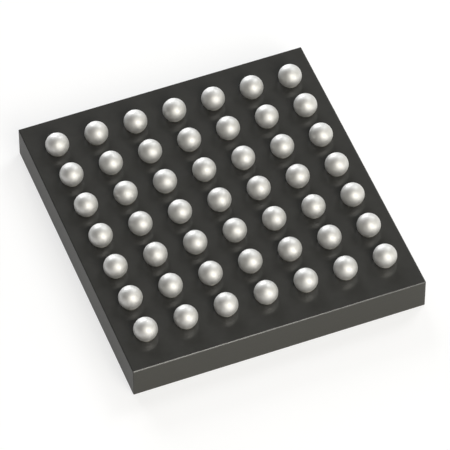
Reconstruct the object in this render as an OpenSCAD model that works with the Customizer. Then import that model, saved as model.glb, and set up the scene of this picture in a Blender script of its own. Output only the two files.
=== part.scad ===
// Wafer-level ball grid array chip: a diced piece of silicon whose active face carries a
// square grid of solder balls, each wired to a bond pad at the chip's edge.
// Millimetres. The chip lies on its coated back with the balls up, and the origin is the
// centre of the back face. Row A is the row at +Y and column 1 the column at +X, so that
// ball A1 comes top left when the chip is turned over and read from its back.

/* [Ball grid] */
// Balls along each side of the square grid
grid_n = 7; // [3:2:7]
// Distance between the centres of neighbouring balls
pitch = 0.4; // [0.36:0.01:0.5]
// Diameter of a reflowed solder ball
ball_d = 0.23; // [0.2:0.005:0.28]

/* [Chip outline] */
// From the centres of the outer column of balls to the chip's edge, along X
edge_margin_x = 0.265; // [0.24:0.005:0.5]
// From the centres of the outer row of balls to the chip's edge, along Y
edge_margin_y = 0.375; // [0.24:0.005:0.5]
// Bevel along every edge of the finished chip
edge_bevel = 0.007; // [0.004:0.001:0.012]

/* [Back coat] */
// Thickness of the black film that covers the back
coat_t = 0.025; // [0.02:0.005:0.06]
// Diameter of the shallow dot that marks the corner of ball A1
index_dot_d = 0.25; // [0.1:0.01:0.4]
// Depth of the dot
index_dot_depth = 0.004; // [0.002:0.001:0.01]
// From the two edges of that corner to the dot's centre
index_dot_inset = 0.38; // [0.25:0.01:0.6]

/* [Silicon] */
// Thickness of the thinned silicon
silicon_t = 0.3; // [0.2:0.01:0.6]
// Side of a square bond pad
bond_pad_w = 0.05; // [0.04:0.002:0.06]
// Thickness of a bond pad
bond_pad_t = 0.002; // [0.001:0.0005:0.004]
// From the chip's edge to the centres of the bond pads
bond_pad_inset = 0.065; // [0.05:0.005:0.08]
// Distance between the bond pads of one channel
bond_pad_pitch = 0.08; // [0.066:0.002:0.09]

/* [Polymer layers] */
// Thickness of the base polymer, between the silicon and the copper
base_polymer_t = 0.008; // [0.006:0.001:0.014]
// Side of the square window in the base polymer over each bond pad
via_w = 0.03; // [0.02:0.002:0.036]
// Thickness of the cover polymer, over the copper
cover_polymer_t = 0.015; // [0.012:0.001:0.025]
// Diameter of the round window in the cover polymer over each land, at its mouth
window_d = 0.136; // [0.11:0.002:0.15]
// How much the window's radius narrows down to its floor
window_taper = 0.004; // [0.001:0.001:0.008]

/* [Copper] */
// Thickness of the copper lands and traces
copper_t = 0.006; // [0.003:0.001:0.009]
// Diameter of the round land under each ball
land_d = 0.19; // [0.176:0.002:0.21]
// Width of a trace
trace_w = 0.02; // [0.012:0.002:0.028]
// Distance between the traces that share a channel
lane_pitch = 0.04; // [0.034:0.002:0.044]
// Side of the copper square over each bond pad
capture_w = 0.046; // [0.04:0.002:0.056]

/* [Ball pads] */
// Diameter of the dished pad that a ball wets
ball_pad_d = 0.18; // [0.158:0.001:0.19]
// Thickness of its plating
ball_pad_t = 0.005; // [0.003:0.001:0.008]

/* [Hidden] */
$fn = 48;

// Outline of the chip
half_n = (grid_n - 1) / 2;
chip_x = 2 * (half_n * pitch + edge_margin_x);
chip_y = 2 * (half_n * pitch + edge_margin_y);

// Heights of the layers, from the back face up
silicon_z = coat_t;
base_polymer_z = silicon_z + silicon_t;
bond_pad_top_z = base_polymer_z + bond_pad_t;
cover_polymer_z = base_polymer_z + base_polymer_t;
land_top_z = cover_polymer_z + copper_t;
chip_h = cover_polymer_z + cover_polymer_t;
dish_floor_z = land_top_z + ball_pad_t;
pad_rim_z = chip_h + ball_pad_t;

// Radii of the window and of the dished pad that lines it
window_r = window_d / 2;
window_floor_r = window_r - window_taper;
dish_mouth_r = window_r - ball_pad_t;
dish_floor_r = window_floor_r - ball_pad_t;
ball_pad_r = ball_pad_d / 2;

// A molten ball is round and ends at the rim of its pad, which sets how high it stands
ball_r = ball_d / 2;
ball_centre_z = pad_rim_z + sqrt(pow(ball_r, 2) - pow(ball_pad_r, 2));

row_letters = "abcdefg";
function ball_name(row, col) = str("ball_", row_letters[row], col + 1);
function ball_place(row, col) = [(half_n - col) * pitch, (half_n - row) * pitch];

// ---- Outline and layers ----

module bevelled_rectangle(w, h) {
    x = w / 2;
    y = h / 2;
    b = edge_bevel;
    polygon([[x - b, -y], [x, b - y], [x, y - b], [x - b, y],
             [b - x, y], [-x, y - b], [-x, b - y], [b - x, -y]]);
}

// The finished chip as one block, bevelled along all twelve edges
module chip_block() {
    intersection() {
        linear_extrude(chip_h)
            bevelled_rectangle(chip_x, chip_y);
        rotate([90, 0, 0])
            linear_extrude(chip_y, center = true)
                translate([0, chip_h / 2])
                    bevelled_rectangle(chip_x, chip_h);
        rotate([90, 0, 90])
            linear_extrude(chip_x, center = true)
                translate([0, chip_h / 2])
                    bevelled_rectangle(chip_y, chip_h);
    }
}

// The slice of the block from height z up to z + thickness
module chip_layer(z, thickness) {
    intersection() {
        chip_block();
        translate([-chip_x, -chip_y, z])
            cube([2 * chip_x, 2 * chip_y, thickness]);
    }
}

module at_each_ball() {
    for (row = [0 : grid_n - 1], col = [0 : grid_n - 1])
        translate(ball_place(row, col))
            children();
}

// ---- Routing ----
// The balls are shared out among the chip's four sides. Each is [side, ring, step]: the side
// that its trace runs to, its ring around the centre, and its place along that side. A side's
// own plan has its edge at the top, and a turn of 90 degrees brings it to its side.

routes = concat(
    [[0, 0, 0]],
    [for (side = [0 : 3], ring = [1 : half_n], step = [-ring : ring - 1]) [side, ring, step]]
);

// How far from the centre the bond pads of a side lie
function pad_reach(side) = (side % 2 == 0 ? chip_y : chip_x) / 2 - bond_pad_inset;

// The lane that a ring's traces take in a channel, counted from the channel's middle
function lane(ring) = half_n - 2 - ring;

// A trace's path from its land out to its bond pad. The outer ring runs straight out. An inner
// ring crosses at 45 degrees into the channel beside its land, keeps to its lane past the rings
// outside it, and fans out again to its bond pad.
function trace_path(route) =
    let (
        ring = route[1],
        land = [route[2], ring] * pitch,
        reach = pad_reach(route[0]),
        channel_u = land.x + pitch / 2,
        lane_u = channel_u + lane(ring) * lane_pitch,
        pad_u = channel_u + lane(ring) * bond_pad_pitch,
        crossed = [lane_u, land.y + lane_u - land.x],
        fanned = [pad_u, reach - bond_pad_w],
        fan = [lane_u, fanned.y - abs(pad_u - lane_u)]
    )
    ring == half_n ? [land, [land.x, reach]]
    : lane(ring) == 0 ? [land, crossed, [lane_u, reach]]
    : [land, crossed, fan, fanned, [pad_u, reach]];

function last(list) = list[len(list) - 1];
function heading(a, b) = (b - a) / norm(b - a);

// From a point of a path to the left edge of a strip 2 wide, with mitred corners
function mitre(path, i) =
    let (
        end = len(path) - 1,
        into = heading(path[max(i, 1) - 1], path[max(i, 1)]),
        out = heading(path[min(i, end - 1)], path[min(i, end - 1) + 1])
    )
    [-(into + out).y, (into + out).x] / (1 + into * out);

function strip(path, w) = concat(
    [for (i = [0 : len(path) - 1]) path[i] + mitre(path, i) * w / 2],
    [for (i = [len(path) - 1 : -1 : 0]) path[i] - mitre(path, i) * w / 2]
);

// The land, trace and bond pad square of one ball, as one flat shape
module trace_plan(route) {
    path = trace_path(route);
    rotate(-90 * route[0]) {
        polygon(strip(path, trace_w));
        translate(path[0])
            circle(d = land_d);
        translate(last(path))
            square(capture_w, center = true);
    }
}

module at_bond_pad(route) {
    rotate(-90 * route[0])
        translate(last(trace_path(route)))
            children();
}

// A square post from height z up, on the axis
module square_post(w, z, h) {
    translate([0, 0, z])
        linear_extrude(h)
            square(w, center = true);
}

// ---- Pieces, from the back face up ----

// Black film laminated to the back, with the laser-marked dot at the corner of ball A1
module back_coat() {
    color([0.1, 0.1, 0.1])
        difference() {
            chip_layer(0, coat_t);
            translate([chip_x / 2 - index_dot_inset, chip_y / 2 - index_dot_inset, -coat_t])
                cylinder(d = index_dot_d, h = coat_t + index_dot_depth);
        }
}

module silicon_die() {
    color([0.3, 0.3, 0.28])
        chip_layer(silicon_z, silicon_t);
}

// Aluminium pads on the silicon, one for each ball
module bond_pads() {
    color([0.8, 0.8, 0.82])
        for (route = routes)
            at_bond_pad(route)
                square_post(bond_pad_w, base_polymer_z, bond_pad_t);
}

// Base polymer, which covers the bond pads apart from a window over each
module base_polymer() {
    color([0.35, 0.27, 0.15])
        difference() {
            chip_layer(base_polymer_z, base_polymer_t);
            for (route = routes)
                at_bond_pad(route) {
                    square_post(bond_pad_w, silicon_z, silicon_t + bond_pad_t);
                    square_post(via_w, base_polymer_z, 2 * base_polymer_t);
                }
        }
}

// Redistribution copper: each ball's land and trace, with the plug down to its bond pad
module copper_traces() {
    color([0.72, 0.45, 0.2])
        for (route = routes)
            union() {
                translate([0, 0, cover_polymer_z])
                    linear_extrude(copper_t)
                        trace_plan(route);
                at_bond_pad(route)
                    square_post(via_w, bond_pad_top_z, land_top_z - bond_pad_top_z);
            }
}

// Cover polymer: it buries the copper, apart from a round window over each land
module cover_polymer() {
    color([0.24, 0.24, 0.23])
        difference() {
            chip_layer(cover_polymer_z, cover_polymer_t);
            for (route = routes)
                translate([0, 0, cover_polymer_z - cover_polymer_t])
                    linear_extrude(cover_polymer_t + copper_t)
                        trace_plan(route);
            at_each_ball()
                rotate_extrude()
                    polygon([[0, cover_polymer_z],
                             [window_floor_r, cover_polymer_z],
                             [window_floor_r, land_top_z],
                             [window_r, chip_h],
                             [window_r, pad_rim_z],
                             [0, pad_rim_z]]);
        }
}

// Plated pads, dished where they line their windows and flat where they lap the polymer
module ball_pads() {
    color([0.75, 0.68, 0.5])
        at_each_ball()
            rotate_extrude()
                polygon([[0, land_top_z],
                         [window_floor_r, land_top_z],
                         [window_r, chip_h],
                         [ball_pad_r, chip_h],
                         [ball_pad_r, pad_rim_z],
                         [dish_mouth_r, pad_rim_z],
                         [dish_floor_r, dish_floor_z],
                         [0, dish_floor_z]]);
}

// One ball: a sphere cut off by its pad's rim, with the foot that fills the pad's dish
module solder_ball(row, col) {
    color([0.82, 0.82, 0.79])
        translate(ball_place(row, col))
            rotate_extrude() {
                intersection() {
                    translate([0, ball_centre_z])
                        circle(d = ball_d);
                    translate([0, pad_rim_z])
                        square([ball_d, 2 * ball_d]);
                }
                polygon([[0, dish_floor_z],
                         [dish_floor_r, dish_floor_z],
                         [dish_mouth_r, pad_rim_z],
                         [0, ball_centre_z]]);
            }
}

back_coat();
silicon_die();
bond_pads();
base_polymer();
copper_traces();
cover_polymer();
ball_pads();
for (row = [0 : grid_n - 1], col = [0 : grid_n - 1])
    solder_ball(row, col);
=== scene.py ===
"""A wafer-level ball grid array chip, lying on its coated back with its solder balls up.

Everything is in metres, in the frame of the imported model: the origin is the centre of the
back face, +Z points towards the balls, row a is at +Y and column 1 at +X.
"""

import math

import bmesh
import bpy
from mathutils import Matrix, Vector


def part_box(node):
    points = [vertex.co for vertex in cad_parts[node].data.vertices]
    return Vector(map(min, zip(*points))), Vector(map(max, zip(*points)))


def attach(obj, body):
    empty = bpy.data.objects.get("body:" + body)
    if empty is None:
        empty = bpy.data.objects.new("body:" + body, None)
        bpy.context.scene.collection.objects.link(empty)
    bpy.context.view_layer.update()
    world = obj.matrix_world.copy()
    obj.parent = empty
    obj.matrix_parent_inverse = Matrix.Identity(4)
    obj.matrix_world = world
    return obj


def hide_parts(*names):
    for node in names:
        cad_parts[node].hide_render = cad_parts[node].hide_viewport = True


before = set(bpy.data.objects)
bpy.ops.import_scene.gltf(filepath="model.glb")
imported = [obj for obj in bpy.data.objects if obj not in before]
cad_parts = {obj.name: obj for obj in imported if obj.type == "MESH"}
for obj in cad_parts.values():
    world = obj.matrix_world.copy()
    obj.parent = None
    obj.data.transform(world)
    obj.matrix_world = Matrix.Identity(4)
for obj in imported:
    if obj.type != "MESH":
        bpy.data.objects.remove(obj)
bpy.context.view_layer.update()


# ---- Silicon die ----
# A rectangle of thinned wafer, bare on its four sides, where the dicing saw has left faint
# level grooves. It is the stiff core that every other layer is laid on.

UM = 1e-6
SILICON_GREY = (0.050, 0.049, 0.043)
SAW_GROOVE = 7 * UM
SAW_RUN = 400 * UM
SAW_DEPTH = 0.4 * UM
GRAIN = 4 * UM


class Shade:
    """An output in a material's node tree. Sums on it add the nodes that work them out."""

    def __init__(self, tree, output):
        self.tree = tree
        self.output = output

    def node(self, kind, settings=None, inputs=None, output=0):
        """Adds a node: its settings first, then the value or the link of each input."""
        made = self.tree.nodes.new(kind)
        for name, value in (settings or {}).items():
            setattr(made, name, value)
        for name, value in (inputs or {}).items():
            if isinstance(value, Shade):
                self.tree.links.new(value.output, made.inputs[name])
            else:
                made.inputs[name].default_value = value
        return Shade(self.tree, made.outputs[output])

    def sum(self, operation, first, second):
        """The result of a maths operation on two values or outputs."""
        return self.node("ShaderNodeMath", {"operation": operation}, {0: first, 1: second})

    def __add__(self, other):
        return self.sum("ADD", self, other)

    __radd__ = __add__

    def __mul__(self, other):
        return self.sum("MULTIPLY", self, other)

    __rmul__ = __mul__

    def __lt__(self, other):
        return self.sum("LESS_THAN", self, other)

    def __gt__(self, other):
        return self.sum("GREATER_THAN", self, other)

    def stretched(self, size):
        """These coordinates, counted in steps of a size along X, Y and Z."""
        scale = [1 / s for s in size]
        return self.node("ShaderNodeVectorMath", {"operation": "MULTIPLY"}, {0: self, 1: scale})

    def noise(self, size, detail=2.0):
        """Smooth noise from 0 to 1 whose blobs measure about size along X, Y and Z."""
        place = self.stretched(size)
        return self.node(
            "ShaderNodeTexNoise", None, {"Vector": place, "Scale": 1.0, "Detail": detail}
        )

    def tinted(self, dark, light):
        """The colour between dark and light that this value from 0 to 1 picks."""
        return self.node(
            "ShaderNodeMix",
            {"data_type": "RGBA"},
            {"Factor": self, "A": (*dark, 1), "B": (*light, 1)},
            "Result",
        )

    def bump(self, depth):
        """The normal of a surface that this value from 0 to 1 raises by up to depth."""
        return self.node("ShaderNodeBump", None, {"Height": self, "Distance": depth})


def shaded(shade, colour, share):
    """The colour with its brightness lowered and raised by a share, as the shade says."""
    dark = [c * (1 - share) for c in colour]
    light = [c * (1 + share) for c in colour]
    return shade.tinted(dark, light)


def finish(name):
    """A new material, and the object coordinates that its patterns follow."""
    material = bpy.data.materials.new(name)
    material.use_nodes = True
    tree = material.node_tree
    tree.nodes.clear()
    place = tree.nodes.new("ShaderNodeTexCoord")
    return material, Shade(tree, place.outputs["Object"])


def show(material, shader):
    """Makes the shader the material's surface, and gives the material."""
    end = material.node_tree.nodes.new("ShaderNodeOutputMaterial")
    material.node_tree.links.new(shader.output, end.inputs["Surface"])
    return material


def sawn(place, colour):
    """The shader of a face that the dicing saw has cut."""
    grooves = place.noise((SAW_RUN, SAW_RUN, SAW_GROOVE), 3.0)
    grain = place.noise((GRAIN, GRAIN, GRAIN))
    return place.node(
        "ShaderNodeBsdfPrincipled",
        None,
        {
            "Base Color": shaded(grooves, colour, 0.12),
            "Roughness": 0.39 + 0.2 * grain,
            "Specular IOR Level": 0.3,
            "Normal": (0.7 * grooves + 0.3 * grain).bump(SAW_DEPTH),
        },
    )


def dress(node, material):
    """Gives a carried-over node its material."""
    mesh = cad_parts[node].data
    mesh.materials.clear()
    mesh.materials.append(material)


material, place = finish("sawn_silicon")
dress("silicon_die", show(material, sawn(place, SILICON_GREY)))


# ---- Bond pads ----
# Sputtered aluminium squares on the silicon, where its circuit comes out. The base polymer
# laps over their edges.

ALUMINIUM = (0.78, 0.79, 0.80)
METAL_DEPTH = 0.15 * UM


def metal(name, colour, roughness, blob):
    """A bare metal whose colour and roughness vary a little over blobs of a given size."""
    material, place = finish(name)
    blotch = place.noise((blob, blob, blob), 3.0)
    shader = place.node(
        "ShaderNodeBsdfPrincipled",
        None,
        {
            "Base Color": shaded(blotch, colour, 0.06),
            "Metallic": 1.0,
            "Roughness": roughness - 0.08 + 0.16 * blotch,
            "Normal": blotch.bump(METAL_DEPTH),
        },
    )
    return show(material, shader)


dress("bond_pads", metal("sputtered_aluminium", ALUMINIUM, roughness=0.35, blob=3 * UM))


# ---- Base polymer ----
# A film of cured polyimide, spun on and opened over each bond pad. Only its edge shows, high
# on the chip's sides, where the saw has smeared it with the silicon's grey.

material, place = finish("base_polyimide")
dress("base_polymer", show(material, sawn(place, SILICON_GREY)))


# ---- Copper traces ----
# Electroplated copper, grown in a mask: a round land for each ball and a trace that carries
# it out to its bond pad. The cover polymer hides all of it.

COPPER = (0.80, 0.45, 0.27)

dress("copper_traces", metal("plated_copper", COPPER, roughness=0.38, blob=5 * UM))


# ---- Cover polymer ----
# The dark top face between the balls: polymer spun over the copper, cured to a low gloss and
# opened where the balls sit. Its sides are sawn with the silicon and it shines on the bevel.

POLYMER_BLACK = (0.0432, 0.0430, 0.0413)
SPUN_WAVE = 90 * UM
SPUN_DEPTH = 0.25 * UM
FACE_GLOSS = 0.46
BEVEL_GLOSS = 0.36
EDGE_BEVEL = 7 * UM


def cured(place, gloss):
    """The shader of the polymer's own skin, smooth from spinning, with a gloss level."""
    wave = place.noise((SPUN_WAVE, SPUN_WAVE, SPUN_WAVE))
    speck = place.noise((GRAIN, GRAIN, GRAIN))
    return place.node(
        "ShaderNodeBsdfPrincipled",
        None,
        {
            "Base Color": shaded(wave, POLYMER_BLACK, 0.1),
            "Roughness": 0.11 + 0.05 * speck,
            "Specular IOR Level": gloss,
            "Normal": (0.85 * wave + 0.15 * speck).bump(SPUN_DEPTH),
        },
    )


def from_height(place, z, below, above):
    """One shader below a height of the chip and another above it."""
    height = place.node("ShaderNodeSeparateXYZ", None, {"Vector": place}, "Z")
    return place.node("ShaderNodeMixShader", None, {0: height > z, 1: below, 2: above})


material, place = finish("spun_polymer")
top_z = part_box("cover_polymer")[1].z
bevel_starts = top_z - 0.9 * EDGE_BEVEL
bevel_ends = top_z - 0.1 * EDGE_BEVEL
side = from_height(place, bevel_starts, sawn(place, SILICON_GREY), cured(place, BEVEL_GLOSS))
shader = from_height(place, bevel_ends, side, cured(place, FACE_GLOSS))
dress("cover_polymer", show(material, shader))


# ---- Ball pads ----
# Round plated pads, dished into the cover polymer's windows and lapping their rims. Solder
# wets the whole of each pad, so only the rim's outer wall is bare.

PAD_METAL = (0.34, 0.33, 0.30)
WINDOW_R = 68 * UM
WINDOW_TAPER = 4 * UM
TURN_STEPS = 48
CREASE = math.radians(30)

pads_low, pads_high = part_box("ball_pads")
ball_low, ball_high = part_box("ball_a1")
row_n = sum(name.startswith("ball_a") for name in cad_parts)
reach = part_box(f"ball_a{row_n}")[0].x
ball_r = (ball_high.x - ball_low.x) / 2
pitch = (ball_low.x - reach) / (row_n - 1)
pad_r = pads_high.x - pitch * (row_n - 1) / 2
rim_z = pads_high.z
plating = rim_z - top_z


def turned(name, profile, steps):
    """A closed mesh turned about Z. The profile runs out from the axis, up, and back to it."""
    shape = bmesh.new()
    rings = []
    for radius, z in profile:
        if radius == 0:
            rings.append([shape.verts.new((0, 0, z))] * steps)
            continue
        turns = [2 * math.pi * i / steps for i in range(steps)]
        places = [(radius * math.cos(t), radius * math.sin(t), z) for t in turns]
        rings.append([shape.verts.new(place) for place in places])
    for lower, upper in zip(rings, rings[1:]):
        for i in range(steps):
            j = (i + 1) % steps
            # A ring on the axis is a single point, so its faces have three corners.
            corners = dict.fromkeys([lower[i], lower[j], upper[j], upper[i]])
            shape.faces.new(corners).smooth = True
    for edge in shape.edges:
        edge.smooth = edge.calc_face_angle() < CREASE
    mesh = bpy.data.meshes.new(name)
    shape.to_mesh(mesh)
    shape.free()
    return mesh


def ball_grid_nodes():
    """Geometry Nodes that set a copy of a piece on every place of the ball grid."""
    tree = bpy.data.node_groups.new("ball_grid", "GeometryNodeTree")
    sockets = tree.interface
    for name, kind in (
        ("Piece", "NodeSocketGeometry"),
        ("Balls along a side", "NodeSocketInt"),
        ("Pitch", "NodeSocketFloat"),
        ("Seed", "NodeSocketInt"),
        ("Finish", "NodeSocketMaterial"),
    ):
        sockets.new_socket(name, in_out="INPUT", socket_type=kind)
    sockets.new_socket("Pieces", in_out="OUTPUT", socket_type="NodeSocketGeometry")

    def add(kind, inputs, **settings):
        node = tree.nodes.new(kind)
        for name, value in settings.items():
            setattr(node, name, value)
        for name, value in inputs.items():
            if isinstance(value, bpy.types.NodeSocket):
                tree.links.new(value, node.inputs[name])
            else:
                node.inputs[name].default_value = value
        return node.outputs

    given = add("NodeGroupInput", {})
    steps = add("ShaderNodeMath", {0: given["Balls along a side"], 1: 1.0}, operation="SUBTRACT")
    side = add("ShaderNodeMath", {0: steps[0], 1: given["Pitch"]}, operation="MULTIPLY")
    places = add(
        "GeometryNodeMeshGrid",
        {
            "Size X": side[0],
            "Size Y": side[0],
            "Vertices X": given["Balls along a side"],
            "Vertices Y": given["Balls along a side"],
        },
    )
    turn = add(
        "FunctionNodeRandomValue",
        {"Min": (0.0, 0.0, 0.0), "Max": (0.0, 0.0, 2 * math.pi), "Seed": given["Seed"]},
        data_type="FLOAT_VECTOR",
    )
    spread = add(
        "GeometryNodeInstanceOnPoints",
        {"Points": places["Mesh"], "Instance": given["Piece"], "Rotation": turn["Value"]},
    )
    real = add("GeometryNodeRealizeInstances", {"Geometry": spread["Instances"]})
    dressed = add(
        "GeometryNodeSetMaterial", {"Geometry": real["Geometry"], "Material": given["Finish"]}
    )
    add("NodeGroupOutput", {"Pieces": dressed["Geometry"]})
    return tree


def on_ball_grid(name, mesh, seed, material):
    """A piece made of copies of the mesh, one on each place of the ball grid."""
    piece = bpy.data.objects.new(name, mesh)
    bpy.context.scene.collection.objects.link(piece)
    spread = piece.modifiers.new("ball_grid", "NODES")
    spread.node_group = grid_nodes
    values = {
        "Balls along a side": row_n,
        "Pitch": pitch,
        "Seed": seed,
        "Finish": material,
    }
    for socket in grid_nodes.interface.items_tree:
        if socket.name in values:
            spread[socket.identifier] = values[socket.name]
    graph = bpy.context.evaluated_depsgraph_get()
    plain = bpy.data.meshes.new_from_object(piece.evaluated_get(graph))
    piece.modifiers.clear()
    piece.data = plain
    plain.name = name
    return piece


grid_nodes = ball_grid_nodes()
pad_profile = [
    (0, pads_low.z),
    (WINDOW_R - WINDOW_TAPER, pads_low.z),
    (WINDOW_R, top_z),
    (pad_r, top_z),
    (pad_r, rim_z),
    (WINDOW_R - plating, rim_z),
    (WINDOW_R - WINDOW_TAPER - plating, ball_low.z),
    (0, ball_low.z),
]
ball_pads = on_ball_grid(
    "ball_pads_plated",
    turned("ball_pad", pad_profile, TURN_STEPS),
    seed=1,
    material=metal("plated_pad", PAD_METAL, roughness=0.45, blob=6 * UM),
)
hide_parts("ball_pads")
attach(ball_pads, "root")


# ---- Solder balls ----
# Tin-silver-copper solder, melted on each pad into a ball that ends at the pad's rim, with a
# foot that fills the dish. It freezes to a satin skin of fine grains.

SOLDER = (0.80, 0.795, 0.78)
SOLDER_GRAIN = 9 * UM
SOLDER_PATCH = 60 * UM
SOLDER_DEPTH = 0.35 * UM
ARC_STEPS = 22

ball_z = ball_high.z - ball_r
foot_angle = math.asin((rim_z - ball_z) / ball_r)


def ball_profile():
    """Half the outline of a ball: its foot in the pad's dish, then the round of the ball."""
    foot = [
        (0, ball_low.z),
        (WINDOW_R - WINDOW_TAPER - plating, ball_low.z),
        (WINDOW_R - plating, rim_z),
    ]
    step = (math.pi / 2 - foot_angle) / ARC_STEPS
    angles = [foot_angle + step * i for i in range(ARC_STEPS)]
    arc = [(ball_r * math.cos(a), ball_z + ball_r * math.sin(a)) for a in angles]
    return foot + arc + [(0, ball_high.z)]


material, place = finish("reflowed_solder")
grain = place.noise((SOLDER_GRAIN, SOLDER_GRAIN, SOLDER_GRAIN), 3.0)
patch = place.noise((SOLDER_PATCH, SOLDER_PATCH, SOLDER_PATCH))
shader = place.node(
    "ShaderNodeBsdfPrincipled",
    {"distribution": "GGX"},
    {
        "Base Color": shaded(0.5 * grain + 0.5 * patch, SOLDER, 0.05),
        "Metallic": 0.85,
        "Roughness": 0.55 + 0.05 * grain + 0.03 * patch,
        "Normal": grain.bump(SOLDER_DEPTH),
    },
)
solder_balls = on_ball_grid(
    "solder_balls",
    turned("solder_ball", ball_profile(), TURN_STEPS),
    seed=2,
    material=show(material, shader),
)
ball_nodes = {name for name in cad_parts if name.startswith("ball_")} - {"ball_pads"}
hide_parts(*sorted(ball_nodes))
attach(solder_balls, "root")


# ---- Back coat ----
# A black film laminated to the back of the silicon before dicing. A laser has burnt a shallow
# dot into it at the corner of ball A1, which shows paler than the film.

COAT_BLACK = (0.080, 0.078, 0.072)
COAT_TOOTH = 8 * UM
COAT_ROUGH = 0.5 * UM
DOT_GREY = (0.19, 0.19, 0.18)
DOT_SPECKLE = 5 * UM
DOT_ROUGH = 1.0 * UM
DOT_R = 125 * UM
DOT_DEPTH = 4 * UM
DOT_INSET = 380 * UM
DOT_STEPS = 96

coat_low, coat_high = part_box("back_coat")
DOT_CENTRE = coat_high.xy - Vector((DOT_INSET, DOT_INSET))


def bevelled_outline(shape, inset, z):
    """Eight points of the chip's outline, drawn in by an inset, at height z."""
    x = coat_high.x - inset
    y = coat_high.y - inset
    u = x - EDGE_BEVEL
    v = y - EDGE_BEVEL
    corners = [(x, -v), (x, v), (u, y), (-u, y), (-x, v), (-x, -v), (-u, -y), (u, -y)]
    return [shape.verts.new((*corner, z)) for corner in corners]


def circle(shape, centre, radius, steps, z):
    """Points round a circle at height z."""
    turns = [2 * math.pi * i / steps for i in range(steps)]
    places = [centre + radius * Vector((math.cos(t), math.sin(t))) for t in turns]
    return [shape.verts.new((*place, z)) for place in places]


def coat_mesh():
    """The film, bevelled along its lower edges, with the dot's round recess in its back."""
    shape = bmesh.new()
    back = bevelled_outline(shape, EDGE_BEVEL, coat_low.z)
    edge = bevelled_outline(shape, 0, coat_low.z + EDGE_BEVEL)
    top = bevelled_outline(shape, 0, coat_high.z)
    for lower, upper in ((back, edge), (edge, top)):
        for i in range(len(lower)):
            j = (i + 1) % len(lower)
            shape.faces.new([lower[i], lower[j], upper[j], upper[i]])
    shape.faces.new(top)
    mouth = circle(shape, DOT_CENTRE, DOT_R, DOT_STEPS, coat_low.z)
    floor = circle(shape, DOT_CENTRE, DOT_R, DOT_STEPS, coat_low.z + DOT_DEPTH)
    for i in range(DOT_STEPS):
        j = (i + 1) % DOT_STEPS
        shape.faces.new([mouth[i], floor[i], floor[j], mouth[j]])
    shape.faces.new(list(reversed(floor)))
    rings = (back, mouth)
    loops = [shape.edges.get((ring[i - 1], ring[i])) for ring in rings for i in range(len(ring))]
    bmesh.ops.triangle_fill(shape, edges=loops, use_beauty=True, normal=(0, 0, -1))
    bmesh.ops.recalc_face_normals(shape, faces=shape.faces)
    mesh = bpy.data.meshes.new("back_coat_film")
    shape.to_mesh(mesh)
    shape.free()
    return mesh


material, place = finish("laminated_film")
tooth = place.noise((COAT_TOOTH, COAT_TOOTH, COAT_TOOTH), 4.0)
flat = place.node("ShaderNodeVectorMath", {"operation": "MULTIPLY"}, {0: place, 1: (1, 1, 0)})
dot = (*DOT_CENTRE, 0)
away = place.node("ShaderNodeVectorMath", {"operation": "DISTANCE"}, {0: flat, 1: dot}, "Value")
height = place.node("ShaderNodeSeparateXYZ", None, {"Vector": place}, "Z")
burnt = (away < DOT_R) * (height < coat_low.z + 2 * DOT_DEPTH)
speckle = place.noise((DOT_SPECKLE, DOT_SPECKLE, DOT_SPECKLE), 3.0)
film = place.node(
    "ShaderNodeBsdfPrincipled",
    None,
    {
        "Base Color": shaded(tooth, COAT_BLACK, 0.15),
        "Roughness": 0.5 + 0.15 * tooth,
        "Specular IOR Level": 0.12,
        "Normal": tooth.bump(COAT_ROUGH),
    },
)
mark = place.node(
    "ShaderNodeBsdfPrincipled",
    None,
    {
        "Base Color": shaded(speckle, DOT_GREY, 0.35),
        "Roughness": 0.8,
        "Specular IOR Level": 0.2,
        "Normal": speckle.bump(DOT_ROUGH),
    },
)
shader = place.node("ShaderNodeMixShader", None, {0: burnt, 1: film, 2: mark})

back_coat = bpy.data.objects.new("back_coat_film", coat_mesh())
bpy.context.scene.collection.objects.link(back_coat)
back_coat.data.materials.append(show(material, shader))
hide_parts("back_coat")
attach(back_coat, "root")


# ---- Floor ----
# A plain white table top that rises at its rim into a low backdrop. It has an opening that
# the chip covers and laps on all sides, so that the back can be lit and seen from below.

FLOOR_R = 0.12
BACKDROP_R = 0.2
BACKDROP_HEIGHT = 0.018
FLOOR_STEPS = 64
FLOOR_GAP = 1 * UM
FLOOR_LAP = 28 * UM
FLOOR_WHITE = (0.36, 0.36, 0.364)
FLOOR_GLOW = 0.655

shape = bmesh.new()
inner = bevelled_outline(shape, FLOOR_LAP, -FLOOR_GAP)
outer = circle(shape, Vector((0, 0)), FLOOR_R, FLOOR_STEPS, -FLOOR_GAP)
rings = (inner, outer)
loops = [shape.edges.new((ring[i - 1], ring[i])) for ring in rings for i in range(len(ring))]
bmesh.ops.triangle_fill(shape, edges=loops, use_beauty=True, normal=(0, 0, 1))
for face in shape.faces:
    if face.normal.z < 0:
        face.normal_flip()
rim = circle(shape, Vector((0, 0)), BACKDROP_R, FLOOR_STEPS, BACKDROP_HEIGHT)
for i in range(FLOOR_STEPS):
    shape.faces.new((outer[i - 1], rim[i - 1], rim[i], outer[i]))
mesh = bpy.data.meshes.new("floor")
shape.to_mesh(mesh)
shape.free()

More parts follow.
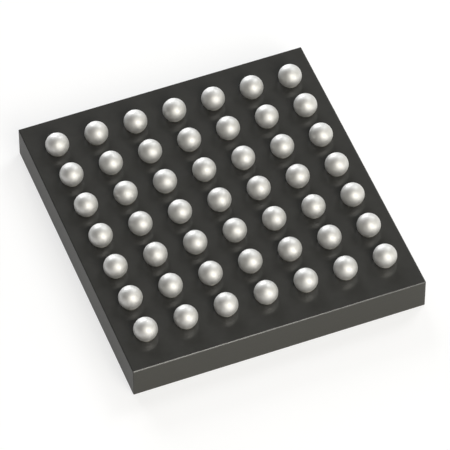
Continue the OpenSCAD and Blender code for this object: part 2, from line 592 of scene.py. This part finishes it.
# The glow shows in the picture and in reflections, and gives the chip no light.
material, place = finish("white_table")
seen = place.node("ShaderNodeLightPath", output="Is Camera Ray")
for other in ("Is Glossy Ray", "Is Transmission Ray"):
    seen = place.sum("MAXIMUM", seen, place.node("ShaderNodeLightPath", output=other))
glow = place.node("ShaderNodeEmission", None, {"Strength": FLOOR_GLOW * seen})
matt = place.node("ShaderNodeBsdfDiffuse", None, {"Color": (*FLOOR_WHITE, 1)})
top = place.node("ShaderNodeAddShader", None, {0: glow, 1: matt})
under = place.node("ShaderNodeEmission", None, {"Strength": seen})
below = place.node("ShaderNodeNewGeometry", output="Backfacing")
shader = place.node("ShaderNodeMixShader", None, {0: below, 1: top, 2: under})
floor = bpy.data.objects.new("floor", mesh)
bpy.context.scene.collection.objects.link(floor)
floor.data.materials.append(show(material, shader))


# ---- Studio light ----
# Soft boxes in a dim room: a bank of keys in front on the right, a stacked pair behind, four
# more along the right, and one below the table for the back. None stands on the left.

ROOM = (1.0, 0.98, 0.92)
ROOM_LEVEL = 0.05
BOX_DISTANCE = 0.06

room = bpy.data.worlds.new("room")
room.use_nodes = True
room.node_tree.nodes["Background"].inputs["Color"].default_value = (*ROOM, 1)
room.node_tree.nodes["Background"].inputs["Strength"].default_value = ROOM_LEVEL
bpy.context.scene.world = room


def soft_box(name, bearing, height, width, tall, level, tint):
    """An area lamp that faces the chip. Its bearing is clockwise from +Y and its height is
    above the floor. It fills the angles width and tall. All four are in degrees. Its level is
    the brightness of its face, where 1 shows as white."""
    lamp = bpy.data.lights.new(name, "AREA")
    lamp.shape = "RECTANGLE"
    lamp.size = 2 * BOX_DISTANCE * math.tan(math.radians(width / 2))
    lamp.size_y = 2 * BOX_DISTANCE * math.tan(math.radians(tall / 2))
    lamp.energy = level * math.pi * lamp.size * lamp.size_y
    lamp.color = tint
    box = bpy.data.objects.new(name, lamp)
    bpy.context.scene.collection.objects.link(box)
    turn, rise = math.radians(bearing), math.radians(height)
    out = math.cos(rise)
    away = Vector((math.sin(turn) * out, math.cos(turn) * out, math.sin(rise)))
    box.location = away * BOX_DISTANCE
    box.rotation_euler = away.to_track_quat("Z", "Y").to_euler()


# Name, bearing, height, width, tall, level and tint.
soft_box("key_low", 156, 22, 26, 26, 2.8, (1.0, 0.967, 0.88))
soft_box("key_mid", 170, 30, 18, 18, 4.5, (1.0, 0.99, 0.96))
soft_box("key_high", 180, 40, 28, 28, 5.1, (1.0, 0.967, 0.885))
soft_box("key_top", 163, 56, 34, 30, 1.5, (1.0, 0.985, 0.89))
soft_box("back_low", 0, 9, 34, 18, 3.0, (0.94, 0.965, 1.0))
soft_box("back_high", 358, 27, 32, 26, 6.2, (0.975, 0.987, 1.0))
soft_box("side_back", 48, 20, 36, 30, 0.4, (0.8, 0.9, 1.0))
soft_box("side_edge", 58, 46, 18, 22, 7.9, (0.985, 0.993, 1.0))
soft_box("side_low", 95, 12, 50, 30, 0.85, (1.0, 0.985, 0.79))
soft_box("right_low", 145, 7, 36, 11, 2.8, (1.0, 0.985, 0.945))
soft_box("under", 200, -60, 60, 60, 2.6, (1.0, 1.0, 1.0))


# ---- Camera ----
# A long lens, looking down at the chip from its near left corner. Its bearing is measured
# from -Y towards +X, and its focal length and sensor are in millimetres.

BEARING = math.radians(-21.27)
ELEVATION = math.radians(50.87)
DISTANCE = 0.042545
FOCAL_LENGTH = 359.2
SENSOR = 36
AIM = Vector((-0.0000202, -0.0001977, 0.000278))

lens = bpy.data.cameras.new("camera")
lens.lens = FOCAL_LENGTH
lens.sensor_width = SENSOR
lens.clip_start = 0.001
lens.clip_end = 1.0
camera = bpy.data.objects.new("camera", lens)
bpy.context.scene.collection.objects.link(camera)
back = Vector(
    (
        math.sin(BEARING) * math.cos(ELEVATION),
        -math.cos(BEARING) * math.cos(ELEVATION),
        math.sin(ELEVATION),
    )
)
camera.location = AIM + back * DISTANCE
camera.rotation_euler = back.to_track_quat("Z", "Y").to_euler()
bpy.context.scene.camera = camera
bpy.context.scene.view_settings.view_transform = "Standard"
